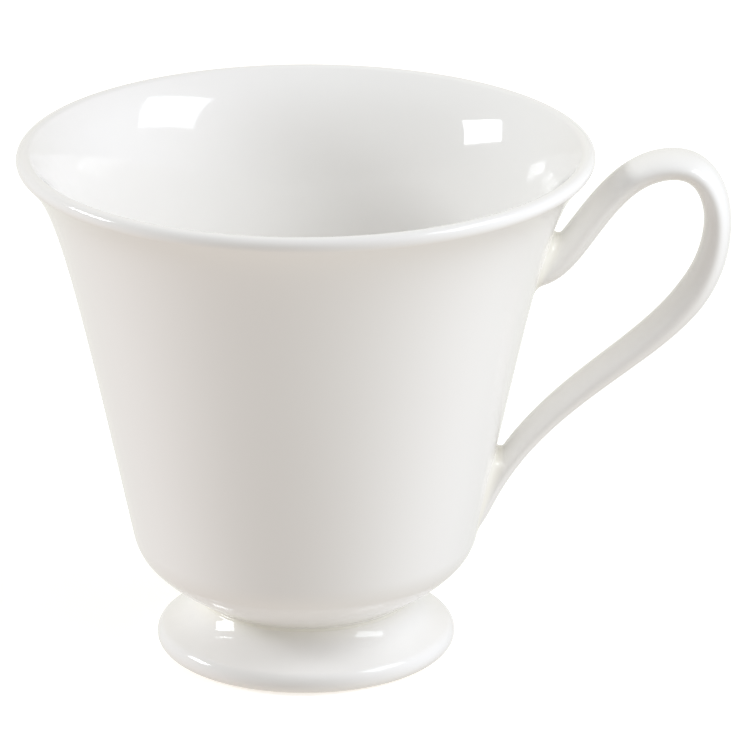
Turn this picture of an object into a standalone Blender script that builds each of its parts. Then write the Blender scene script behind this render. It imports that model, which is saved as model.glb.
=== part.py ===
"""A footed espresso cup in glazed porcelain: a trumpet bowl on a spreading foot, with an oval strap handle.

Metres, +Z up. The cup stands on z = 0 and the handle reaches along +X. The origin is the middle of the
cup's footprint, handle included, so the axis that the bowl and foot were turned on stands at x = AXIS_X.
"""

import math

import bmesh
import bpy
import numpy as np
from mathutils import Matrix

# Bowl
CUP_HEIGHT = 0.0645
RIM_RADIUS = 0.0350
LIP_EDGE_RADIUS = 0.0010
LIP_FLARE_ANGLE = math.radians(46.2)
SHOULDER_RADIUS = 0.0210
SHOULDER_HEIGHT = 0.0135
SHOULDER_ROUNDING = 0.0071
WALL_LEAN = math.radians(11.4)
WALL_THICKNESS = 0.0020
FLOOR_THICKNESS = 0.0035
FLOOR_FLAT_RADIUS = 0.0110
UNDERSIDE_ANGLE = math.radians(46.2)
UNDERSIDE_END_ANGLE = math.radians(32)
NECK_RADIUS = 0.0132

# Pedestal foot
NECK_JOINT_HEIGHT = 0.00645
FOOT_RADIUS = 0.0185
FOOT_EDGE_RADIUS = 0.0015
FOOT_FLARE_ANGLE = math.radians(25)
FOOT_TOP_LEAN = math.radians(25)
FOOT_NECK_WALL = 0.0026
RESTING_RING_WIDTH = 0.0026
RESTING_RING_ROUNDING = 0.0006

# Handle: an oval strap that leaves the wall below the lip, rises level with it and runs to the shoulder
HANDLE_PAST_RIM = 0.0170
CROWN_SETBACK = 0.0053
BULGE_DROP = 0.0070
UPPER_ROOT_DROP = 0.0153
UPPER_ROOT_ANGLE = math.radians(15)
LOWER_ROOT_RISE = 0.0058
LOWER_ROOT_ANGLE = math.radians(65.4)
STRAP_WIDTH = 0.0076
ROOT_THICKNESS = 0.0037
LOOP_THICKNESS = 0.0033
SWELL_THICKNESS = 0.0039
TAIL_THICKNESS = 0.0025

# Slip joints, and the clearance that every seat keeps
SLIP_THICKNESS = 0.0006
SLIP_COLLAR = 0.0003
SEAT_GAP = 0.0003

# How far each curve holds its end directions, as a share of the straight line between its ends
WALL_HOLD_RATIOS = (0.855, 0.105)
CORNER_HOLD_RATIOS = (0.45, 0.33)
UNDERSIDE_HOLD_RATIOS = (0.36, 0.36)
FLARE_HOLD_RATIOS = (0.40, 0.40)
RISE_HOLD_RATIOS = (0.23, 0.40)
CROWN_HOLD_RATIOS = (0.535, 0.155)
RETURN_HOLD_RATIOS = (0.35, 0.432)

# Where the strap is thickest on its way back to the shoulder, and where it is back to the loop's thickness
SWELL_SHARE = 0.25
SWELL_END_SHARE = 0.50

# How finely round shapes are drawn
TURN_STEPS = 64
STRAP_SIDES = 20
WALL_STEPS = 9
CURVE_STEPS = 5
RISE_STEPS = 12
CROWN_STEPS = 8
RETURN_STEPS = 18
SMOOTH_LIMIT = math.radians(40)
MERGE_DISTANCE = 0.000001

# Where the pieces meet
AXIS_X = -HANDLE_PAST_RIM / 2
FOOT_TOP = NECK_JOINT_HEIGHT - SLIP_THICKNESS / 2 - SEAT_GAP
BOWL_BOTTOM = NECK_JOINT_HEIGHT + SLIP_THICKNESS / 2 + SEAT_GAP
FLOOR_HEIGHT = BOWL_BOTTOM + FLOOR_THICKNESS
FOOT_HOLLOW_RADIUS = NECK_RADIUS - FOOT_NECK_WALL
SLIP_OUTSIDE = SEAT_GAP + SLIP_THICKNESS
HANDLE_CLEARANCE = SLIP_OUTSIDE + SEAT_GAP


def direction(angle):
    """The unit vector at an angle above the horizontal, in the (radius, height) plane."""
    return np.array([math.cos(angle), math.sin(angle)])


def curve(start, leaving, arriving, end, hold, steps):
    """A cubic curve from start to end, both included, that leaves and arrives in the given directions."""
    start, end = np.array(start), np.array(end)
    span = np.linalg.norm(end - start)
    first = start + leaving * hold[0] * span
    second = end - arriving * hold[1] * span
    t = np.linspace(0, 1, steps + 1)[:, None]
    return (1 - t) ** 3 * start + 3 * t * (1 - t) ** 2 * first + 3 * t**2 * (1 - t) * second + t**3 * end


def arc(centre, radius, first_angle, last_angle, steps):
    """Points on a circular arc in the (radius, height) plane, both ends included."""
    angles = np.linspace(first_angle, last_angle, steps + 1)
    return np.array(centre) + radius * np.stack([np.cos(angles), np.sin(angles)], axis=1)


def outward(points):
    """The outward normal at each point of an outline that runs down the outer side, top to bottom."""
    along = np.gradient(points, axis=0)
    along /= np.linalg.norm(along, axis=1)[:, None]
    return np.stack([-along[:, 1], along[:, 0]], axis=1)


def lip_edge():
    """The round edge of the lip, from its inside over the top to where the outer wall runs out from it."""
    centre = (RIM_RADIUS - LIP_EDGE_RADIUS, CUP_HEIGHT - LIP_EDGE_RADIUS)
    outer_end = LIP_FLARE_ANGLE - math.pi / 2
    return arc(centre, LIP_EDGE_RADIUS, outer_end + math.pi, outer_end, 2 * CURVE_STEPS)


def outer_wall():
    """The outer wall from the lip down to the neck: trumpet, rounded shoulder and flattening underside."""
    shoulder = np.array([SHOULDER_RADIUS, SHOULDER_HEIGHT])
    wall_angle = math.pi / 2 - WALL_LEAN
    tangent = SHOULDER_ROUNDING * math.tan((wall_angle - UNDERSIDE_ANGLE) / 2)
    wall_foot = shoulder + tangent * direction(wall_angle)
    lip_join = lip_edge()[-1]
    trumpet = curve(
        lip_join,
        -direction(LIP_FLARE_ANGLE),
        -direction(wall_angle),
        wall_foot,
        WALL_HOLD_RATIOS[::-1],
        WALL_STEPS,
    )
    centre = wall_foot - SHOULDER_ROUNDING * direction(-WALL_LEAN)
    rounding = arc(
        centre, SHOULDER_ROUNDING, -WALL_LEAN, UNDERSIDE_ANGLE - math.pi / 2, CURVE_STEPS
    )
    underside = curve(
        rounding[-1],
        -direction(UNDERSIDE_ANGLE),
        -direction(UNDERSIDE_END_ANGLE),
        (NECK_RADIUS, BOWL_BOTTOM),
        UNDERSIDE_HOLD_RATIOS,
        CURVE_STEPS,
    )
    return np.concatenate([trumpet, rounding[1:], underside[1:]])


def bowl_outline():
    """The bowl's outline: inside floor, inner wall up to the lip, outer wall down to the flat bottom."""
    outer = outer_wall()
    trumpet = outer[: WALL_STEPS + 1]
    inner = (trumpet - WALL_THICKNESS * outward(trumpet))[1:][::-1]
    wall_angle = math.pi / 2 - WALL_LEAN
    floor_edge = (FLOOR_FLAT_RADIUS, FLOOR_HEIGHT)
    corner = curve(
        floor_edge,
        np.array([1.0, 0.0]),
        direction(wall_angle),
        inner[0],
        CORNER_HOLD_RATIOS,
        2 * CURVE_STEPS,
    )
    centre_line = [(0, FLOOR_HEIGHT)]
    return np.concatenate([centre_line, corner, inner[1:], lip_edge(), outer[1:], [(0, BOWL_BOTTOM)]])


def foot_outline():
    """The foot ring's closed outline: flared side, round edge, flat resting ring and the hollow inside."""
    edge_centre = np.array([FOOT_RADIUS - FOOT_EDGE_RADIUS, FOOT_EDGE_RADIUS])
    join_angle = math.pi / 2 - FOOT_FLARE_ANGLE
    edge = arc(edge_centre, FOOT_EDGE_RADIUS, join_angle, -math.pi / 2, CURVE_STEPS + 2)
    flare = curve(
        (NECK_RADIUS, FOOT_TOP),
        direction(FOOT_TOP_LEAN - math.pi / 2),
        direction(-FOOT_FLARE_ANGLE),
        edge[0],
        FLARE_HOLD_RATIOS,
        CURVE_STEPS + 2,
    )
    ring_inside = edge_centre[0] - RESTING_RING_WIDTH
    rounding_centre = (ring_inside, RESTING_RING_ROUNDING)
    rounding = arc(rounding_centre, RESTING_RING_ROUNDING, -math.pi / 2, -math.pi, 3)
    hollow = curve(
        rounding[-1],
        np.array([0.0, 1.0]),
        np.array([0.0, 1.0]),
        (FOOT_HOLLOW_RADIUS, FOOT_TOP),
        FLARE_HOLD_RATIOS,
        CURVE_STEPS,
    )
    return np.concatenate([flare, edge[1:], rounding, hollow[1:]])


def foot_slip_outline():
    """The neck joint's closed outline: a thin washer whose outer edge stands out as a half-round bead."""
    nose = arc(
        (NECK_RADIUS, NECK_JOINT_HEIGHT), SLIP_THICKNESS / 2, math.pi / 2, -math.pi / 2, CURVE_STEPS
    )
    inside = [
        (FOOT_HOLLOW_RADIUS, nose[-1][1]),
        (FOOT_HOLLOW_RADIUS, nose[0][1]),
    ]
    return np.concatenate([nose, inside])


def wall_envelope_outline(clearance):
    """The space the bowl fills, grown by a clearance: its outer wall moved out and closed to the axis."""
    outer = np.concatenate([lip_edge()[CURVE_STEPS:], outer_wall()[1 : -CURVE_STEPS]])
    grown = outer + clearance * outward(outer)
    top = [(0, grown[0][1]), grown[0] - (LIP_EDGE_RADIUS, 0)]
    return np.concatenate([top, grown, [(0, grown[-1][1])]])


def wall_radius(height):
    """The outer wall's radius at a height."""
    outer = outer_wall()[::-1]
    return float(np.interp(height, outer[:, 1], outer[:, 0]))


def strap_path():
    """The strap's centre line from the upper root to the tail, and its thickness at each point."""
    root_height = CUP_HEIGHT - UPPER_ROOT_DROP
    tail_height = SHOULDER_HEIGHT + LOWER_ROOT_RISE
    root = (wall_radius(root_height), root_height)
    tail = (wall_radius(tail_height), tail_height)
    bulge_x = RIM_RADIUS + HANDLE_PAST_RIM - LOOP_THICKNESS / 2
    crown_z = CUP_HEIGHT - LOOP_THICKNESS / 2
    crown = (bulge_x - CROWN_SETBACK, crown_z)
    bulge = (bulge_x, crown_z - BULGE_DROP)
    level, down = np.array([1.0, 0.0]), np.array([0.0, -1.0])
    rise = curve(root, direction(UPPER_ROOT_ANGLE), level, crown, RISE_HOLD_RATIOS, RISE_STEPS)
    over = curve(crown, level, down, bulge, CROWN_HOLD_RATIOS, CROWN_STEPS)
    back = curve(bulge, down, -direction(LOWER_ROOT_ANGLE), tail, RETURN_HOLD_RATIOS, RETURN_STEPS)
    path = np.concatenate([rise, over[1:], back[1:]])
    shares = np.arange(1, RETURN_STEPS + 1) / RETURN_STEPS
    return_shares = (0, SWELL_SHARE, SWELL_END_SHARE, 1)
    return_sizes = (LOOP_THICKNESS, SWELL_THICKNESS, LOOP_THICKNESS, TAIL_THICKNESS)
    thickness = np.concatenate([
        np.linspace(ROOT_THICKNESS, LOOP_THICKNESS, RISE_STEPS + 1),
        np.full(CROWN_STEPS, LOOP_THICKNESS),
        np.interp(shares, return_shares, return_sizes),
    ])
    return path, thickness


def sunk_strap_path():
    """The strap's centre line with both ends run on into the wall, for the wall to trim."""
    path, thickness = strap_path()
    root_sink = ROOT_THICKNESS
    tail_sink = 2 * TAIL_THICKNESS
    root_end = path[0] - root_sink * direction(UPPER_ROOT_ANGLE)
    tail_end = path[-1] - tail_sink * direction(LOWER_ROOT_ANGLE)
    path = np.concatenate([[root_end], path, [tail_end]])
    thickness = np.concatenate([[ROOT_THICKNESS], thickness, [TAIL_THICKNESS]])
    return path, thickness


def finish_mesh(name, bm, material, axis):
    """Turn a bmesh into a smooth-shaded object that stands on the cup's axis."""
    bmesh.ops.remove_doubles(bm, verts=bm.verts, dist=MERGE_DISTANCE)
    bmesh.ops.recalc_face_normals(bm, faces=bm.faces)
    mesh = bpy.data.meshes.new(name)
    bm.to_mesh(mesh)
    bm.free()
    mesh.shade_smooth()
    mesh.set_sharp_from_angle(angle=SMOOTH_LIMIT)
    obj = bpy.data.objects.new(name, mesh)
    bpy.context.scene.collection.objects.link(obj)
    obj.parent = axis
    if material:
        mesh.materials.append(material)
    return obj


def turned(name, outline, closed, material, axis):
    """Spin an outline of (radius, height) points round the cup's axis."""
    bm = bmesh.new()
    verts = [bm.verts.new((radius, 0, height)) for radius, height in outline]
    pairs = zip(verts, verts[1:] + verts[:1]) if closed else zip(verts, verts[1:])
    edges = [bm.edges.new(pair) for pair in pairs]
    bmesh.ops.spin(
        bm,
        geom=verts + edges,
        cent=(0, 0, 0),
        axis=(0, 0, 1),
        angle=2 * math.pi,
        steps=TURN_STEPS,
        use_merge=True,
    )
    return finish_mesh(name, bm, material, axis)


def swept_strap(name, path, thickness, width, material, axis):
    """Carry an oval section along a path in the handle's upright plane and cap both ends."""
    bm = bmesh.new()
    along = np.gradient(path, axis=0)
    tilt = np.arctan2(along[:, 1], along[:, 0])
    rings = []
    for (x, z), angle, thick in zip(path, tilt, thickness):
        place = Matrix.Translation((x, 0, z)) @ Matrix.Rotation(math.pi / 2 - angle, 4, "Y")
        oval = Matrix.Diagonal((thick / 2, width / 2, 1, 1))
        ring = bmesh.ops.create_circle(bm, segments=STRAP_SIDES, radius=1, matrix=place @ oval)
        rings.append(list({edge for vert in ring["verts"] for edge in vert.link_edges}))
    for ring, following in zip(rings, rings[1:]):
        bmesh.ops.bridge_loops(bm, edges=ring + following)
    bmesh.ops.holes_fill(bm, edges=bm.edges, sides=0)
    return finish_mesh(name, bm, material, axis)


def trim(obj, operation, cutter):
    """Cut an object by, or keep only what lies inside, another solid."""
    modifier = obj.modifiers.new(f"{operation.lower()} {cutter.name}", "BOOLEAN")
    modifier.operation = operation
    modifier.solver = "EXACT"
    modifier.object = cutter


def cutter(name, clearance, axis):
    """A hidden solid of the bowl's outer shape grown by a clearance."""
    obj = turned(name, wall_envelope_outline(clearance), False, None, axis)
    obj.hide_render = True
    obj.display_type = "WIRE"
    return obj


def slip_pad(name, end, material, axis, clearance, outside):
    """The slip between the bowl's wall and one end of the strap: a thin pad that hugs the wall."""
    path, thickness = sunk_strap_path()
    pad = swept_strap(
        name,
        path[end],
        thickness[end] + 2 * SLIP_COLLAR,
        STRAP_WIDTH + 2 * SLIP_COLLAR,
        material,
        axis,
    )
    trim(pad, "INTERSECT", outside)
    trim(pad, "DIFFERENCE", clearance)
    return pad


def porcelain(name, colour, roughness):
    """Fired porcelain or slip under a clear glaze."""
    material = bpy.data.materials.new(name)
    material.use_nodes = True
    shader = material.node_tree.nodes["Principled BSDF"]
    shader.inputs["Base Color"].default_value = (*colour, 1)
    shader.inputs["Roughness"].default_value = roughness
    shader.inputs["Metallic"].default_value = 0
    return material


def main():
    for obj in list(bpy.data.objects):
        bpy.data.objects.remove(obj)

    axis = bpy.data.objects.new("cup_axis", None)
    axis.location = (AXIS_X, 0, 0)
    bpy.context.scene.collection.objects.link(axis)

    wall_clearance = cutter("wall_clearance", SEAT_GAP, axis)
    slip_outside = cutter("slip_outside", SLIP_OUTSIDE, axis)
    handle_clearance = cutter("handle_clearance", HANDLE_CLEARANCE, axis)

    turned("bowl", bowl_outline(), False, porcelain("bowl porcelain", (0.84, 0.83, 0.80), 0.08), axis)
    turned(
        "pedestal_foot",
        foot_outline(),
        True,
        porcelain("foot porcelain", (0.83, 0.82, 0.79), 0.10),
        axis,
    )
    turned(
        "foot_slip_joint",
        foot_slip_outline(),
        True,
        porcelain("neck slip", (0.74, 0.73, 0.68), 0.15),
        axis,
    )

    path, thickness = sunk_strap_path()
    handle = swept_strap(
        "handle",
        path,
        thickness,
        STRAP_WIDTH,
        porcelain("handle porcelain", (0.83, 0.82, 0.79), 0.10),
        axis,
    )
    trim(handle, "DIFFERENCE", handle_clearance)

    upper_end = slice(0, RISE_STEPS // 2)
    lower_end = slice(-(RETURN_STEPS // 2), None)
    slip_pad(
        "upper_handle_slip_joint",
        upper_end,
        porcelain("upper slip", (0.82, 0.81, 0.78), 0.12),
        axis,
        wall_clearance,
        slip_outside,
    )
    slip_pad(
        "lower_handle_slip_joint",
        lower_end,
        porcelain("lower slip", (0.82, 0.81, 0.78), 0.12),
        axis,
        wall_clearance,
        slip_outside,
    )


main()
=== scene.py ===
"""The looks of a footed espresso cup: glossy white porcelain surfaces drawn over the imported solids.

Metres, +Z up. The cup stands on z = 0 with its handle along +X, and the axis that the bowl and the
foot were turned on stands at x = AXIS_X. Outlines and paths are (radius, height) points measured from
that axis. A hold says how far a curve keeps to the directions at its two ends, as shares of its chord.
"""

import math

import bpy
import numpy as np
from mathutils import Euler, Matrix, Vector


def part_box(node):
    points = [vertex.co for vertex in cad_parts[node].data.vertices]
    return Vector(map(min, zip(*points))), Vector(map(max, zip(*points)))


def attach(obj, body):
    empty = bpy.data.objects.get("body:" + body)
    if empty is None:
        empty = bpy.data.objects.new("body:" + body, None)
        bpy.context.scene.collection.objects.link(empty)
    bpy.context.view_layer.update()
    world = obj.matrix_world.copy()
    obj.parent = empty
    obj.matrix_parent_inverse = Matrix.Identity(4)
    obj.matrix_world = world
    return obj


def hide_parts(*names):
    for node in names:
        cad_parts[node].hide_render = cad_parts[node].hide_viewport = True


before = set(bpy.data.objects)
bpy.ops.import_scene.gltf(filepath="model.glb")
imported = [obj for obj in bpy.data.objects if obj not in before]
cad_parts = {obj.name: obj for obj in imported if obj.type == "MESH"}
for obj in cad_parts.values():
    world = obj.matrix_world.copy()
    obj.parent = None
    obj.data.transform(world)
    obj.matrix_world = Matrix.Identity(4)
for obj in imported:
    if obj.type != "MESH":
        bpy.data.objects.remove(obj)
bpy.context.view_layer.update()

MM = 0.001

# Main sizes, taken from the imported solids
bowl_low, bowl_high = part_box("bowl")
foot_low, foot_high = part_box("pedestal_foot")
bead_low, bead_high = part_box("foot_slip_joint")
strap_low, strap_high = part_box("handle")
AXIS_X = (bowl_low.x + bowl_high.x) / 2
CUP_HEIGHT = bowl_high.z
RIM_RADIUS = (bowl_high.y - bowl_low.y) / 2
FOOT_RADIUS = (foot_high.y - foot_low.y) / 2
BEAD_RADIUS = (bead_high.y - bead_low.y) / 2
NECK_HEIGHT = (bead_low.z + bead_high.z) / 2
STRAP_WIDTH = strap_high.y - strap_low.y
STRAP_REACH = strap_high.x - AXIS_X
STRAP_TOP = strap_high.z

# Bowl. The lines of the lower wall and of the underside would meet at the shoulder, which is rounded off.
WALL_THICKNESS = 2.0 * MM
LIP_FLARE = math.radians(46.2)
TRUMPET_HOLD = (0.105, 0.855)
SHOULDER = np.array([20.9, 13.0]) * MM
SHOULDER_ROUNDING = 7.1 * MM
WALL_LEAN = math.radians(11.4)
FLOOR_HEIGHT = 10.55 * MM
FLOOR_FLAT_RADIUS = 11.0 * MM
FLOOR_CORNER_HOLD = (0.45, 0.33)
UNDERSIDE_SLOPE = math.radians(46.2)
UNDERSIDE_END_SLOPE = math.radians(32)
UNDERSIDE_HOLD = (0.36, 0.36)
NECK_RADIUS = 13.2 * MM
NECK_COVE = np.array([0.5, 0.45]) * MM
NECK_COVE_HOLD = (0.45, 0.45)
BOTTOM_ABOVE_BEAD = 0.3 * MM
BOWL_BOTTOM = NECK_HEIGHT + BOTTOM_ABOVE_BEAD
AXIS_GAP = 0.3 * MM

# Unevenness of the bowl's wall. Each wave: height, number round the cup, start in radians, and the rise
# over which it drifts by one radian. The waves fade at the neck and the lip, and the rim is drawn towards
# the handle.
WAVES = ((0.030 * MM, 2, 0.7, 34 * MM), (0.018 * MM, 3, -1.3, -21 * MM))
WAVES_FROM = 12 * MM
WAVES_EASE = 8 * MM
CALM_LIP = 1 * MM
RIM_DRAW = 0.4 * MM
RIM_DRAW_FROM = 44 * MM
RIM_DRAW_RISE = 20 * MM

# Pedestal foot, and the bead of slip in the neck
FOOT_EDGE_RADIUS = 1.5 * MM
FOOT_FLARE = math.radians(25)
FOOT_TOP_LEAN = math.radians(30)
FOOT_COVE = np.array([0.2, -0.45]) * MM
FOOT_HOLD = (0.40, 0.40)
RESTING_RING_WIDTH = 2.6 * MM
BARE_HEIGHT = 0.12 * MM
RING_ROUNDING = 0.6 * MM
HOLLOW_RADIUS = 10.6 * MM
HOLLOW_ROUNDING = 2.2 * MM
HOLLOW_HOLD = (0.45, 0.40)
CEILING_GAP = 0.05 * MM
BEAD_ROUNDING = 0.45 * MM
BEAD_WORKED_DOWN = 0.15 * MM

# Strap handle
CROWN_SETBACK = 5.3 * MM
BULGE_DROP = 7.0 * MM
UPPER_ROOT_HEIGHT = 49.2 * MM
UPPER_ROOT_ANGLE = math.radians(15)
LOWER_ROOT_HEIGHT = 19.3 * MM
LOWER_ROOT_ANGLE = math.radians(65.4)
ROOT_THICKNESS = 3.7 * MM
LOOP_THICKNESS = 3.3 * MM
SWELL_THICKNESS = 3.9 * MM
TAIL_THICKNESS = 2.5 * MM
ROOT_RUN_ON = 3.5 * MM
TAIL_RUN_ON = 7.0 * MM
TAIL_TURN = math.radians(20)
RISE_HOLD = (0.23, 0.40)
OVER_HOLD = (0.535, 0.155)
BACK_HOLD = (0.35, 0.432)
RUN_ON_HOLD = (0.34, 0.34)
PATH_SMOOTHING = 0.8 * MM
SMOOTHING_REACH = 4 * PATH_SMOOTHING
ROOT_SUNK = 0.9 * MM
TAIL_SUNK = 1.6 * MM

# Rounding of the slip worked round the strap's ends: on its outer face, its sides and its inner face
UPPER_FILLET = (0.62 * MM, 1.35 * MM, 2.0 * MM)
LOWER_FILLET = (4.0 * MM, 1.6 * MM, 0.5 * MM)
FILLET_TUCK = 0.004 * MM
FILLET_SUNK = 0.4 * MM
FILLET_CORNER_SUNK = 0.3 * MM

# How strongly the creases are painted paler and creamier, from 0 to 1, and how far from the neck's crease.
# This is painted light that lifts the shade in the creases, where the glaze also pools thick.
NECK_POOL_AND_LIGHT = 0.6
NECK_POOL_AND_LIGHT_REACH = 1.4 * MM
BEAD_POOL_AND_LIGHT = 1.0
FILLET_POOL_AND_LIGHT = 0.8
STRAP_POOL_AND_LIGHT = 0.0

# How finely the surfaces are drawn
TURNS = 256
STRAP_SPACING = 0.1 * MM
STRAP_ROWS = 340
STRAP_SIDES = 80
FILLET_STEPS = 16
SETTLING_STEPS = 4
CRISP_ANGLE = math.radians(50)

# The camera looks down at the cup, with the handle turned very slightly towards it. The target is
# measured from the cup's axis, to the right and up. The focal length is a share of the picture's width.
VIEW_TURN = math.radians(1.5)
VIEW_DOWN = math.radians(19.99)
VIEW_DISTANCE = 787.06 * MM
VIEW_TARGET = np.array([8.606, 35.11]) * MM
FOCAL_SHARE = 6398.7 / 750
SENSOR_MM = 36

# Studio. Azimuths are in degrees from the camera's side, positive to the right, and elevations are in
# degrees above the floor.
FLOOR_HALF = 3.0
FLOOR_DROP = 0.02 * MM
FLOOR_GLOW = 0.33
AIM_HEIGHT = 0.75 * CUP_HEIGHT
SOFTBOXES = (
    # name, azimuth, elevation, distance, width, height, brightness, colour
    ("right softbox", 75.5, 39.4, 0.288, 0.148, 0.124, 4.25, "#F2FAFF"),
    ("left softbox", -95, 24, 0.80, 0.29, 0.175, 15.13, "#F7FBFF"),
)
ROOM_GLOWS = (
    # azimuth, elevation, tightness, brightness, colour
    (180, 30, 2.0, 0.45, "#FFF5DC"),
    (180, -22, 4.0, 0.61, "#F9FFFE"),
    (-120, 28, 4.0, 0.50, "#F9F7FF"),
    (-90, 10, 4.0, 0.40, "#F0FFFE"),
    (90, 10, 4.0, 0.58, "#DEE4FF"),
    (0, 5, 4.0, 0.31, "#FFFBEE"),
    (60, 46, 4.0, 1.28, "#FDFCFF"),
    (0, -90, 1.5, 0.54, "#FFF2DE"),
    (75, -30, 3.0, 0.75, "#FBFFFE"),
    (-75, -30, 3.0, 0.74, "#FFF5F8"),
)

# Directions in the (radius, height) plane
OUTWARDS = np.array([1.0, 0.0])
UPWARDS = np.array([0.0, 1.0])
DOWNWARDS = np.array([0.0, -1.0])

# Numbers of the colour mixing node's sockets: its two colours and its result
MIX_FIRST, MIX_SECOND, MIX_RESULT = 6, 7, 2


def heading(angle):
    """The unit vector at an angle above the horizontal, in the (radius, height) plane."""
    return np.array([math.cos(angle), math.sin(angle)])


def bend(start, leaving, arriving, end, hold, count):
    """A cubic curve whose inner control points lie on the end directions, hold times the chord from each
    end."""
    start, end = np.array(start), np.array(end)
    chord = np.linalg.norm(end - start)
    first = start + leaving * hold[0] * chord
    second = end - arriving * hold[1] * chord
    t = np.linspace(0, 1, count)[:, None]
    return (1 - t) ** 3 * start + 3 * t * (1 - t) ** 2 * first + 3 * t**2 * (1 - t) * second + t**3 * end


def line(start, end, count):
    """Evenly spaced points on a straight line."""
    t = np.linspace(0, 1, count)[:, None]
    return (1 - t) * np.array(start) + t * np.array(end)


def arc(centre, radius, first_angle, last_angle, count):
    """Centre plus radius times (cos a, sin a), for evenly spaced angles a."""
    a = np.linspace(first_angle, last_angle, count)
    return np.array(centre) + radius * np.stack([np.cos(a), np.sin(a)], axis=1)


def joined(*runs):
    """Runs of points end to end, without the point that each run shares with the one before."""
    return np.concatenate([runs[0]] + [run[1:] for run in runs[1:]])


def side_of(points):
    """The unit normal on the left of a run of points: its direction turned a quarter turn."""
    direction = np.gradient(points, axis=0)
    direction /= np.linalg.norm(direction, axis=1)[:, None]
    return np.stack([-direction[:, 1], direction[:, 0]], axis=1)


def lip_edge():
    """Half a circle over the lip, from where the inner wall arrives to where the outer wall leaves."""
    radius = WALL_THICKNESS / 2
    outer_end = LIP_FLARE - math.pi / 2
    centre = (RIM_RADIUS - radius, CUP_HEIGHT - radius)
    return arc(centre, radius, outer_end + math.pi, outer_end, count=29)


def trumpet_wall():
    """A cubic curve down the outer wall, from the flared lip to the nearly upright lower wall."""
    corner = math.pi / 2 - WALL_LEAN
    tangent = SHOULDER_ROUNDING * math.tan((corner - UNDERSIDE_SLOPE) / 2)
    wall_foot = SHOULDER + tangent * heading(corner)
    lip_end = lip_edge()[-1]
    return bend(lip_end, -heading(LIP_FLARE), -heading(corner), wall_foot, TRUMPET_HOLD, count=84)


def outer_wall():
    """The trumpet wall, a circular shoulder, an underside that flattens towards the middle, and a small
    cove."""
    wall = trumpet_wall()
    centre = wall[-1] - SHOULDER_ROUNDING * heading(-WALL_LEAN)
    shoulder = arc(centre, SHOULDER_ROUNDING, -WALL_LEAN, UNDERSIDE_SLOPE - math.pi / 2, count=22)
    neck = np.array([NECK_RADIUS, BOWL_BOTTOM])
    cove_top = neck + NECK_COVE
    leaving, into_cove = -heading(UNDERSIDE_SLOPE), -heading(UNDERSIDE_END_SLOPE)
    underside = bend(shoulder[-1], leaving, into_cove, cove_top, UNDERSIDE_HOLD, count=24)
    cove = bend(cove_top, into_cove, DOWNWARDS, neck, NECK_COVE_HOLD, count=14)
    return joined(wall, shoulder, underside, cove)


def bowl_outline():
    """From the middle of the floor up the inner wall, which is the outer wall moved in by its thickness,
    over the lip, down the outer wall and back to the middle underneath. Both ends stop just short of the
    axis, where a fan closes them."""
    wall = trumpet_wall()
    inner = (wall - WALL_THICKNESS * side_of(wall))[::-1]
    floor_edge = (FLOOR_FLAT_RADIUS, FLOOR_HEIGHT)
    floor = line((AXIS_GAP, FLOOR_HEIGHT), floor_edge, count=10)
    up_wall = heading(math.pi / 2 - WALL_LEAN)
    corner = bend(floor_edge, OUTWARDS, up_wall, inner[0], FLOOR_CORNER_HOLD, count=30)
    bottom = line((NECK_RADIUS, BOWL_BOTTOM), (AXIS_GAP, BOWL_BOTTOM), count=12)
    return joined(floor, corner, inner, lip_edge(), outer_wall(), bottom)


def foot_outline():
    """A closed outline: cove, flare, round edge, flat resting ring, the hollow with its rounded ceiling,
    and back to the start under the bowl's bottom."""
    edge_centre = np.array([FOOT_RADIUS - FOOT_EDGE_RADIUS, FOOT_EDGE_RADIUS])
    edge = arc(edge_centre, FOOT_EDGE_RADIUS, math.pi / 2 - FOOT_FLARE, -math.pi / 2, count=26)
    top = np.array([NECK_RADIUS, BOWL_BOTTOM])
    spreading = heading(FOOT_TOP_LEAN - math.pi / 2)
    cove = bend(top, DOWNWARDS, spreading, top + FOOT_COVE, FOOT_HOLD, count=8)
    flare = bend(top + FOOT_COVE, spreading, heading(-FOOT_FLARE), edge[0], FOOT_HOLD, count=40)
    ring_inside = edge_centre[0] - RESTING_RING_WIDTH
    ring = line(edge[-1], (ring_inside, 0), count=7)
    rounding = arc((ring_inside, RING_ROUNDING), RING_ROUNDING, -math.pi / 2, -math.pi, count=9)
    ceiling = BOWL_BOTTOM - CEILING_GAP
    hollow_top = (HOLLOW_RADIUS, ceiling - HOLLOW_ROUNDING)
    hollow = bend(rounding[-1], UPWARDS, UPWARDS, hollow_top, HOLLOW_HOLD, count=24)
    dome_centre = (HOLLOW_RADIUS - HOLLOW_ROUNDING, ceiling - HOLLOW_ROUNDING)
    dome = arc(dome_centre, HOLLOW_ROUNDING, 0, math.pi / 2, count=14)
    back = line(dome[-1] + (0, CEILING_GAP), top, count=6)[:-1]
    return np.concatenate([joined(cove, flare, edge, ring, rounding, hollow, dome), back])


def bead_outline():
    """A closed circle round the neck joint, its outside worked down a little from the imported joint."""
    centre = (BEAD_RADIUS - BEAD_WORKED_DOWN - BEAD_ROUNDING, NECK_HEIGHT)
    return arc(centre, BEAD_ROUNDING, math.pi, -math.pi, count=25)[:-1]


def turning_waves(angle, height):
    """The slight unevenness of a turned and fired wall: slow sine waves round the cup that drift with
    height."""
    waves = [tall * np.sin(count * angle + start + height / drift) for tall, count, start, drift in WAVES]
    return sum(waves)


def drawn_rim(angle, height):
    """The rim drawn a little towards the handle in the firing: most at the lip and over the handle."""
    rise = np.clip((height - RIM_DRAW_FROM) / RIM_DRAW_RISE, 0, 1)
    return RIM_DRAW * rise**2 * np.clip(np.cos(angle), 0, 1) ** 2


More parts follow.
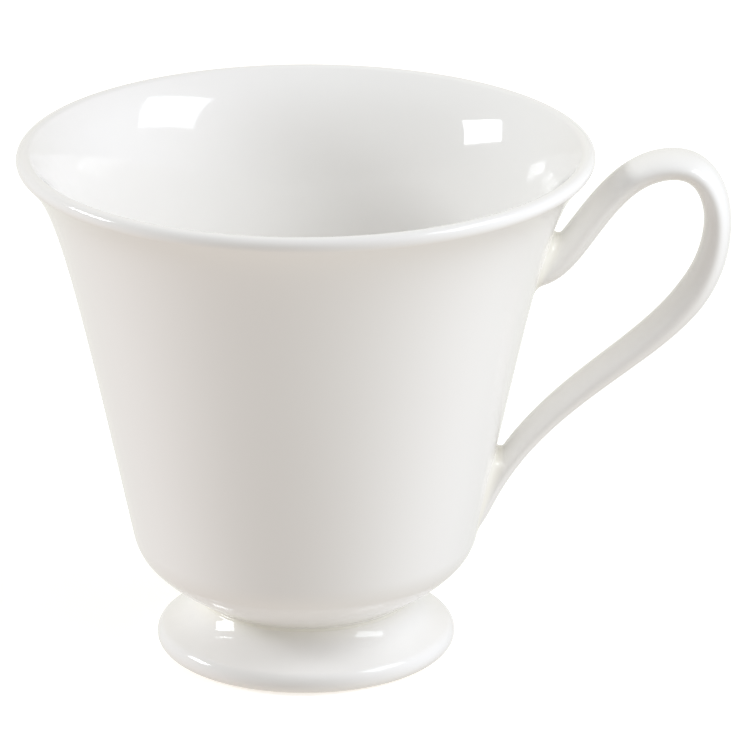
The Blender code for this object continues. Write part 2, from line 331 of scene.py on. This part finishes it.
def wave_strength(height):
    """No waves at the neck and the lip, full waves between, eased as a smooth step at both ends."""
    rise = np.clip((height - WAVES_FROM) / WAVES_EASE, 0, 1)
    fall = np.clip((CUP_HEIGHT - CALM_LIP - height) / WAVES_EASE, 0, 1)
    return rise**2 * (3 - 2 * rise) * fall**2 * (3 - 2 * fall)


def uneven(radius, angle, height):
    """A radius of the bowl with the turning waves and the drawn rim added."""
    return radius + turning_waves(angle, height) * wave_strength(height) + drawn_rim(angle, height)


def turned(outline, wavy=False):
    """Each outline point carried round the axis: (radius cos a, radius sin a, height) for every angle a,
    with the wall's unevenness where wavy says so."""
    angle = np.arange(TURNS) * 2 * math.pi / TURNS
    radius, height = outline[:, :1], outline[:, 1:]
    if wavy:
        radius = uneven(radius, angle, height)
    level = height + 0 * angle
    return np.stack([AXIS_X + radius * np.cos(angle), radius * np.sin(angle), level], axis=-1)


def wall_at(height, angle):
    """The outer wall's radius, unevenness included, and its slope (radius gained per unit of height)."""
    outer = outer_wall()[::-1]
    slope = np.gradient(outer[:, 0], outer[:, 1])
    radius = np.interp(height, outer[:, 1], outer[:, 0])
    return uneven(radius, angle, height), np.interp(height, outer[:, 1], slope)


def strap_path():
    """Three cubic curves: out of the wall and up to the crown, over it to the bulge, and back to the
    shoulder. Run-ons carry both ends into the wall. Points are evenly spaced, and eased by a bell-shaped
    running mean so that the bends flow into each other. Returns the points and the thickness at each."""
    root = np.array([wall_at(UPPER_ROOT_HEIGHT, 0)[0], UPPER_ROOT_HEIGHT])
    tail = np.array([wall_at(LOWER_ROOT_HEIGHT, 0)[0], LOWER_ROOT_HEIGHT])
    bulge_x = STRAP_REACH - LOOP_THICKNESS / 2
    crown_z = STRAP_TOP - LOOP_THICKNESS / 2
    crown = np.array([bulge_x - CROWN_SETBACK, crown_z])
    bulge = np.array([bulge_x, crown_z - BULGE_DROP])
    from_wall, to_shoulder = heading(UPPER_ROOT_ANGLE), -heading(LOWER_ROOT_ANGLE)
    into_wall = -heading(LOWER_ROOT_ANGLE - TAIL_TURN)
    root_start = root - (ROOT_RUN_ON + SMOOTHING_REACH) * from_wall
    tail_end = tail - TAIL_RUN_ON * heading(LOWER_ROOT_ANGLE - TAIL_TURN / 2)
    run_in = line(root_start, root, count=40)
    rise = bend(root, from_wall, OUTWARDS, crown, RISE_HOLD, count=160)
    over = bend(crown, OUTWARDS, DOWNWARDS, bulge, OVER_HOLD, count=120)
    back = bend(bulge, DOWNWARDS, to_shoulder, tail, BACK_HOLD, count=320)
    run_on = bend(tail, to_shoulder, into_wall, tail_end, RUN_ON_HOLD, count=80)
    sunk = line(tail_end, tail_end + SMOOTHING_REACH * into_wall, count=20)
    points = joined(run_in, rise, over, back, run_on, sunk)
    run = np.concatenate([[0], np.cumsum(np.linalg.norm(np.diff(points, axis=0), axis=1))])
    even = np.arange(0, run[-1], STRAP_SPACING)
    parts = (run_in, rise, over, back)
    at_root, at_crown, at_bulge, at_tail = np.cumsum([len(part) - 1 for part in parts])
    at_swell, after_swell = at_bulge + len(back) // 4, at_bulge + len(back) // 2
    marks = run[[at_root, at_crown, at_bulge, at_swell, after_swell, at_tail]]
    loop = LOOP_THICKNESS
    sizes = [ROOT_THICKNESS, loop, loop, SWELL_THICKNESS, loop, TAIL_THICKNESS]
    columns = [
        np.interp(even, run, points[:, 0]),
        np.interp(even, run, points[:, 1]),
        np.interp(even, marks, sizes),
    ]
    offsets = np.arange(-SMOOTHING_REACH, SMOOTHING_REACH + STRAP_SPACING / 2, STRAP_SPACING)
    bell = np.exp(-((offsets / PATH_SMOOTHING) ** 2) / 2)
    smooth = [np.convolve(column, bell / bell.sum(), mode="valid") for column in columns]
    return np.stack(smooth[:2], axis=1), smooth[2]


def strap_surface():
    """An oval carried along the strap's path: path + side (thickness / 2) cos a + across (width / 2)
    sin a."""
    path, thickness = strap_path()
    side = side_of(path)
    angle = np.arange(STRAP_SIDES) * 2 * math.pi / STRAP_SIDES
    lift = thickness[:, None] / 2 * np.cos(angle)
    across = STRAP_WIDTH / 2 * np.sin(angle) + 0 * lift
    x = AXIS_X + path[:, :1] + side[:, :1] * lift
    z = path[:, 1:] + side[:, 1:] * lift
    return np.stack([x, across, z], axis=-1)


def along(surface, rows):
    """Points of a surface between its rows, by straight interpolation down each column. Rows stay just
    short of the last, so that there is always a next one."""
    rows = np.clip(rows, 0, len(surface) - 1.001)
    below = rows.astype(int)
    part = (rows - below)[..., None]
    columns = np.arange(surface.shape[1])
    return (1 - part) * surface[below, columns] + part * surface[below + 1, columns]


def round_axis(points):
    """Points as radius, angle and height about the cup's axis."""
    x, y, z = points[..., 0] - AXIS_X, points[..., 1], points[..., 2]
    return np.hypot(x, y), np.arctan2(y, x), z


def crossing(clear, towards_middle):
    """The row, with its fraction, where each column's clearance from the wall passes through zero: the
    first one from the strap's upper end when towards_middle is +1, or from its lower end when it is
    -1."""
    clear = clear[::towards_middle]
    columns = np.arange(clear.shape[1])
    after = np.argmax(clear > 0, axis=0)
    rows = after - clear[after, columns] / (clear[after, columns] - clear[after - 1, columns])
    return rows if towards_middle > 0 else len(clear) - 1 - rows


def strap_ends(surface):
    """The rows where each line along the strap leaves the wall and where it comes back."""
    radius, angle, height = round_axis(surface)
    clear = radius - wall_at(height, angle)[0]
    return crossing(clear, 1), crossing(clear, -1)


def strap_rows(surface, leaving, arriving):
    """Rows of the strap spread evenly between its two ends, each end run on a little into the wall."""
    share = np.linspace(0, 1, STRAP_ROWS)[:, None]
    first = leaving - ROOT_SUNK / STRAP_SPACING
    last = arriving + TAIL_SUNK / STRAP_SPACING
    return along(surface, (1 - share) * first + share * last)


def unit(vectors):
    """Vectors scaled to length one."""
    return vectors / np.linalg.norm(vectors, axis=-1)[..., None]


def on_wall(points):
    """Points moved level, towards or away from the axis, onto the outer wall."""
    _, angle, height = round_axis(points)
    radius = wall_at(height, angle)[0]
    return np.stack([AXIS_X + radius * np.cos(angle), radius * np.sin(angle), height], axis=-1)


def around_strap(sizes):
    """A size for every line along the strap, from its sizes on the outer face, the sides and the inner
    face: the parabola in the cosine of the angle round the strap that passes through all three."""
    outer, side, inner = sizes
    facing = np.cos(np.arange(STRAP_SIDES) * 2 * math.pi / STRAP_SIDES)
    return side + (outer - inner) / 2 * facing + ((outer + inner) / 2 - side) * facing**2


def slip_fillet(surface, seam_rows, towards_middle, rounding):
    """A closed collar round one end of the strap, as a ball rolled along the corner would press it. The
    ball's middle lies one rounding out from the strap and from the wall, found for every line along the
    strap. The seen side is the ball's arc from the strap to the wall. Three hidden edges close it inside
    both."""
    around = np.roll(surface, -1, axis=1) - np.roll(surface, 1, axis=1)
    strap_out = unit(np.cross(np.gradient(surface, axis=0), around))
    middles = surface + rounding[:, None] * strap_out
    radius, angle, height = round_axis(middles)
    wall_radius, slope = wall_at(height, angle)
    clear = (radius - wall_radius) / np.hypot(1, slope) - rounding
    rows = crossing(clear, towards_middle)
    middle, touch = along(middles, rows), along(surface, rows)
    to_strap = unit(touch - middle)
    low = on_wall(middle)
    for _ in range(SETTLING_STEPS):
        _, angle, height = round_axis(low)
        slope = wall_at(height, angle)[1]
        wall_out = unit(np.stack([np.cos(angle), np.sin(angle), -slope], axis=-1))
        low = on_wall(middle - rounding[:, None] * wall_out)
    to_wall, wall_reach = unit(low - middle), np.linalg.norm(low - middle, axis=-1)
    bow = np.arccos(np.clip(np.sum(to_strap * to_wall, axis=-1), -1, 1))[:, None]
    t = np.linspace(0, 1, FILLET_STEPS)[:, None, None]
    reach = (np.sin((1 - t) * bow) * to_strap + np.sin(t * bow) * to_wall) / np.sin(bow)
    length = (1 - t) * (rounding[:, None] + FILLET_TUCK) + t * (wall_reach[:, None] + FILLET_TUCK)
    seen = middle + length * reach
    corner = along(surface, seam_rows) + FILLET_CORNER_SUNK * (to_strap + to_wall)
    hidden = [low + FILLET_SUNK * to_wall, corner, touch + FILLET_SUNK * to_strap]
    return np.concatenate([seen, hidden])


def skin(name, node, grid, pool_and_light, materials, loop=True, rows_of_second=()):
    """A closed mesh from a grid of points that runs round in its second direction. In its first direction
    it either runs round as well, or ends in a fan at each end. The fourth argument gives, per row, how
    much painted light makes the creases paler and creamier, where the glaze also pools, and rows_of_second
    are the rows of faces that get the second material. Where the enclosed volume comes out negative, the
    faces are turned over, so that they point outwards."""
    rows, columns = grid.shape[:2]
    points = grid.reshape(-1, 3)
    row = np.arange(rows if loop else rows - 1)[:, None]
    column = np.arange(columns)[None, :]
    here, beside = row * columns + column, row * columns + (column + 1) % columns
    below = (row + 1) % rows * columns
    under, beyond = below + column, below + (column + 1) % columns
    quads = np.stack([here, under, beyond, beside], axis=-1).reshape(-1, 4)
    corners = points[quads]
    volume = np.sum(corners[:, 0] * np.cross(corners[:, 1], corners[:, 2]))
    volume += np.sum(corners[:, 0] * np.cross(corners[:, 2], corners[:, 3]))
    order = -1 if volume < 0 else 1
    faces = quads[:, ::order].tolist()
    pools_and_light = np.broadcast_to(pool_and_light, (rows, columns)).reshape(-1)
    slots = np.isin(np.arange(len(quads)) // columns, rows_of_second).astype(np.int32)
    if not loop:
        first, last = len(points), len(points) + 1
        ring, after = np.arange(columns), (np.arange(columns) + 1) % columns
        end = (rows - 1) * columns
        first_fan = np.stack([np.full(columns, first), ring, after], axis=1)
        last_fan = np.stack([np.full(columns, last), end + after, end + ring], axis=1)
        faces += first_fan[:, ::order].tolist() + last_fan[:, ::order].tolist()
        points = np.concatenate([points, grid[:1].mean(axis=1), grid[-1:].mean(axis=1)])
        pools_and_light = np.concatenate([pools_and_light, pools_and_light[:1], pools_and_light[-1:]])
        slots = np.concatenate([slots, np.zeros(2 * columns, np.int32)])
    mesh = bpy.data.meshes.new(name)
    mesh.from_pydata(points.tolist(), [], faces)
    mesh.shade_smooth()
    mesh.set_sharp_from_angle(angle=CRISP_ANGLE)
    for material in materials:
        mesh.materials.append(material)
    mesh.polygons.foreach_set("material_index", slots)
    # The painted light of the creases, where the glaze also pools, one value per point
    layer = mesh.attributes.new("pool_and_painted_light", "FLOAT", "POINT")
    layer.data.foreach_set("value", pools_and_light.astype(np.float32))
    piece = bpy.data.objects.new(name, mesh)
    bpy.context.scene.collection.objects.link(piece)
    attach(piece, "root")
    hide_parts(node)


def linear(code):
    """An sRGB hex colour as linear RGBA: (c / 12.92) for dark channels, else ((c + 0.055) / 1.055) to the
    power of 2.4."""
    c = np.array([int(code[i : i + 2], 16) for i in (1, 3, 5)]) / 255
    return (*np.where(c <= 0.04045, c / 12.92, ((c + 0.055) / 1.055) ** 2.4), 1.0)


def add(tree, kind, links=None, values=None, **settings):
    """Add one shader node, set its own settings and input values, and link other nodes' outputs to it."""
    node = tree.nodes.new(kind)
    for name, value in settings.items():
        setattr(node, name, value)
    for socket, value in (values or {}).items():
        node.inputs[socket].default_value = value
    for socket, source in (links or {}).items():
        tree.links.new(source, node.inputs[socket])
    return node


def started(name):
    """A new material with its shader and the Object coordinates that its patterns read."""
    material = bpy.data.materials.new(name)
    material.use_nodes = True
    tree = material.node_tree
    shader = tree.nodes["Principled BSDF"]
    place = tree.nodes.new("ShaderNodeTexCoord").outputs["Object"]
    return material, tree, shader, place


def glazed_porcelain(name):
    """Hard porcelain under a clear fired gloss glaze: white with a trace of cream, mirror-smooth but very
    slightly rippled. The creases are painted paler and creamier: painted light that lifts their shade as
    light through the thin body would, where the glaze also lies thick."""
    material, tree, shader, place = started(name)
    ripple_mm, mottle_mm = 7.0, 22.0
    mottle = add(
        tree,
        "ShaderNodeTexNoise",
        {"Vector": place},
        {"Scale": 1 / (mottle_mm * MM), "Detail": 2.0, "Roughness": 0.5},
    )
    body = add(
        tree,
        "ShaderNodeMix",
        {"Factor": mottle.outputs["Fac"]},
        {MIX_FIRST: linear("#F9F7F4"), MIX_SECOND: linear("#FBFAF7")},
        data_type="RGBA",
    )
    # Painted light in the creases, where the glaze also pools: the point attribute mixes the body to a
    # paler cream
    pool_and_light = add(tree, "ShaderNodeAttribute", attribute_name="pool_and_painted_light")
    pooled_and_painted_light = add(
        tree,
        "ShaderNodeMix",
        {"Factor": pool_and_light.outputs["Fac"], MIX_FIRST: body.outputs[MIX_RESULT]},
        {MIX_SECOND: linear("#FFFCF1")},
        data_type="RGBA",
    )
    tree.links.new(pooled_and_painted_light.outputs[MIX_RESULT], shader.inputs["Base Color"])
    ripple = add(
        tree,
        "ShaderNodeTexNoise",
        {"Vector": place},
        {"Scale": 1 / (ripple_mm * MM), "Detail": 1.0, "Roughness": 0.4},
    )
    bump = add(
        tree,
        "ShaderNodeBump",
        {"Height": ripple.outputs["Fac"]},
        {"Strength": 0.25, "Distance": 0.03 * MM},
    )
    tree.links.new(bump.outputs["Normal"], shader.inputs["Normal"])
    gloss = add(
        tree,
        "ShaderNodeMapRange",
        {"Value": mottle.outputs["Fac"]},
        {"To Min": 0.045, "To Max": 0.085},
    )
    tree.links.new(gloss.outputs["Result"], shader.inputs["Roughness"])
    shader.inputs["IOR"].default_value = 1.52
    return material


def bare_porcelain(name):
    """Unglazed porcelain, ground flat after firing: matt, a little creamier than the glaze, with a fine
    grain."""
    material, tree, shader, place = started(name)
    grain_mm = 0.35
    grain = add(
        tree,
        "ShaderNodeTexNoise",
        {"Vector": place},
        {"Scale": 1 / (grain_mm * MM), "Detail": 3.0, "Roughness": 0.6},
    )
    body = add(
        tree,
        "ShaderNodeMix",
        {"Factor": grain.outputs["Fac"]},
        {MIX_FIRST: linear("#E3DED2"), MIX_SECOND: linear("#F1ECE2")},
        data_type="RGBA",
    )
    tree.links.new(body.outputs[MIX_RESULT], shader.inputs["Base Color"])
    bump = add(
        tree,
        "ShaderNodeBump",
        {"Height": grain.outputs["Fac"]},
        {"Strength": 0.4, "Distance": 0.05 * MM},
    )
    tree.links.new(bump.outputs["Normal"], shader.inputs["Normal"])
    shader.inputs["Roughness"].default_value = 0.7
    return material


def neck_pool_and_light(outline):
    """Painted light in the neck's crease, lifting its shade where the glaze also pools: a bell curve of
    the distance to it, for each outline point.
    """
    distance = np.linalg.norm(outline - np.array([NECK_RADIUS, NECK_HEIGHT]), axis=1)
    return NECK_POOL_AND_LIGHT * np.exp(-((distance / NECK_POOL_AND_LIGHT_REACH) ** 2))[:, None]


def fillet_pool_and_light():
    """Painted light along a slip fillet, lifting its shade where the glaze also pools: half a sine wave
    from the strap to the wall, and none on the three hidden edges."""
    seen, hidden = np.sin(np.linspace(0, math.pi, FILLET_STEPS)), np.zeros(3)
    return FILLET_POOL_AND_LIGHT * np.concatenate([seen, hidden])[:, None]


def make_cup():
    """Every porcelain piece of the cup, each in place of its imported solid."""
    bowl_glaze = glazed_porcelain("glazed porcelain, turned bowl")
    foot_glaze = glazed_porcelain("glazed porcelain, turned foot")
    strap_glaze = glazed_porcelain("glazed porcelain, cast strap")
    joint_glaze = glazed_porcelain("glazed slip joints")
    bare_ring = bare_porcelain("bare ground porcelain ring")

    outline = bowl_outline()
    bowl = turned(outline, wavy=True)
    # Painted light for the neck's crease, where the glaze also pools, per outline point
    pool_and_light = neck_pool_and_light(outline)
    skin("bowl_skin", "bowl", bowl, pool_and_light, [bowl_glaze], loop=False)

    outline = foot_outline()
    foot = turned(outline)
    pool_and_light = neck_pool_and_light(outline)
    finishes = [foot_glaze, bare_ring]
    ring_rows = np.flatnonzero(outline[:, 1] < BARE_HEIGHT)[:-1]
    skin("foot_skin", "pedestal_foot", foot, pool_and_light, finishes, rows_of_second=ring_rows)

    bead = turned(bead_outline())
    skin("neck_bead", "foot_slip_joint", bead, BEAD_POOL_AND_LIGHT, [joint_glaze])

    surface = strap_surface()
    leaving, arriving = strap_ends(surface)
    strap = strap_rows(surface, leaving, arriving)
    skin("strap_skin", "handle", strap, STRAP_POOL_AND_LIGHT, [strap_glaze], loop=False)

    # Painted light along the slip fillets, where the glaze also pools
    pool_and_light = fillet_pool_and_light()
    upper = slip_fillet(surface, leaving, 1, around_strap(UPPER_FILLET))
    lower = slip_fillet(surface, arriving, -1, around_strap(LOWER_FILLET))
    skin("upper_slip_fillet", "upper_handle_slip_joint", upper, pool_and_light, [joint_glaze])
    skin("lower_slip_fillet", "lower_handle_slip_joint", lower, pool_and_light, [joint_glaze])


def outward(azimuth, elevation):
    """The unit vector from the cup towards a place in the studio, from its azimuth and elevation."""
    turn = math.radians(azimuth) + VIEW_TURN
    rise = math.radians(elevation)
    return Vector((math.sin(turn) * math.cos(rise), -math.cos(turn) * math.cos(rise), math.sin(rise)))


def softbox(name, azimuth, elevation, distance, width, height, brightness, colour):
    """A rectangular light aimed at the cup. Its power is pi times its area times its brightness, so that
    it looks equally bright at any size."""
    light = bpy.data.lights.new(name, "AREA")
    light.shape = "RECTANGLE"
    light.size, light.size_y = width, height
    light.energy = math.pi * width * height * brightness
    light.color = linear(colour)[:3]
    lamp = bpy.data.objects.new(name, light)
    out = outward(azimuth, elevation)
    lamp.location = Vector((AXIS_X, 0, AIM_HEIGHT)) + distance * out
    lamp.rotation_euler = (-out).to_track_quat("-Z", "Y").to_euler()
    bpy.context.scene.collection.objects.link(lamp)


def soft_room(glows):
    """A room of soft glows: each is brightness times colour times (cosine of the angle to its middle) to
    the power of its tightness, and nothing on the far side."""
    world = bpy.data.worlds.new("soft room")
    bpy.context.scene.world = world
    world.use_nodes = True
    tree = world.node_tree
    gaze = tree.nodes.new("ShaderNodeTexCoord").outputs["Generated"]
    total = None
    for azimuth, elevation, tightness, brightness, colour in glows:
        middle = outward(azimuth, elevation)
        facing = add(tree, "ShaderNodeVectorMath", {0: gaze}, {1: middle}, operation="DOT_PRODUCT")
        front = add(tree, "ShaderNodeMath", {0: facing.outputs["Value"]}, {1: 0.0}, operation="MAXIMUM")
        shape = add(tree, "ShaderNodeMath", {0: front.outputs["Value"]}, {1: tightness}, operation="POWER")
        tint = Vector(linear(colour)[:3]) * brightness
        links = {0: shape.outputs["Value"]}
        if total:
            links[2] = total.outputs["Vector"]
        total = add(tree, "ShaderNodeVectorMath", links, {1: tint}, operation="MULTIPLY_ADD")
    tree.links.new(total.outputs["Vector"], tree.nodes["Background"].inputs["Color"])


def lay_floor():
    """A level square just under the cup. It is left out of the light that the cup gets, which the room's
    lower glows give instead."""
    half, below = FLOOR_HALF, -FLOOR_DROP
    corners = [(-half, -half, below), (half, -half, below), (half, half, below), (-half, half, below)]
    mesh = bpy.data.meshes.new("floor")
    mesh.from_pydata(corners, [], [(0, 1, 2, 3)])
    floor = bpy.data.objects.new("floor", mesh)
    bpy.context.scene.collection.objects.link(floor)
    # Matt coated paper, lit a little from beneath: an even white with neither gloss nor shadow
    paper, _, shader, _ = started("matt white paper sweep")
    shader.inputs["Base Color"].default_value = linear("#FBF9F5")
    shader.inputs["Roughness"].default_value = 0.9
    shader.inputs["Emission Color"].default_value = linear("#FFFFFF")
    shader.inputs["Emission Strength"].default_value = FLOOR_GLOW
    mesh.materials.append(paper)
    floor.visible_diffuse = False
    floor.visible_glossy = False
    floor.visible_shadow = False


def set_camera():
    """The camera stands back from its target along the line of view, and all of it is turned round the
    cup's axis by the view's turn."""
    camera = bpy.data.cameras.new("camera")
    camera.sensor_width = SENSOR_MM
    camera.lens = SENSOR_MM * FOCAL_SHARE
    eye = bpy.data.objects.new("camera", camera)
    back = np.array([0, -math.cos(VIEW_DOWN), math.sin(VIEW_DOWN)]) * VIEW_DISTANCE
    stand = back + np.array([VIEW_TARGET[0], 0, VIEW_TARGET[1]])
    turn = Euler((0, 0, VIEW_TURN)).to_matrix()
    eye.location = turn @ Vector(stand) + Vector((AXIS_X, 0, 0))
    eye.rotation_euler = Euler((math.pi / 2 - VIEW_DOWN, 0, VIEW_TURN))
    bpy.context.scene.collection.objects.link(eye)
    bpy.context.scene.camera = eye


def make_studio():
    """A pale floor, a softbox on each side, soft glows all round, and the camera."""
    bpy.context.scene.view_settings.view_transform = "Standard"
    lay_floor()
    for settings in SOFTBOXES:
        softbox(*settings)
    soft_room(ROOM_GLOWS)
    set_camera()


make_cup()
make_studio()
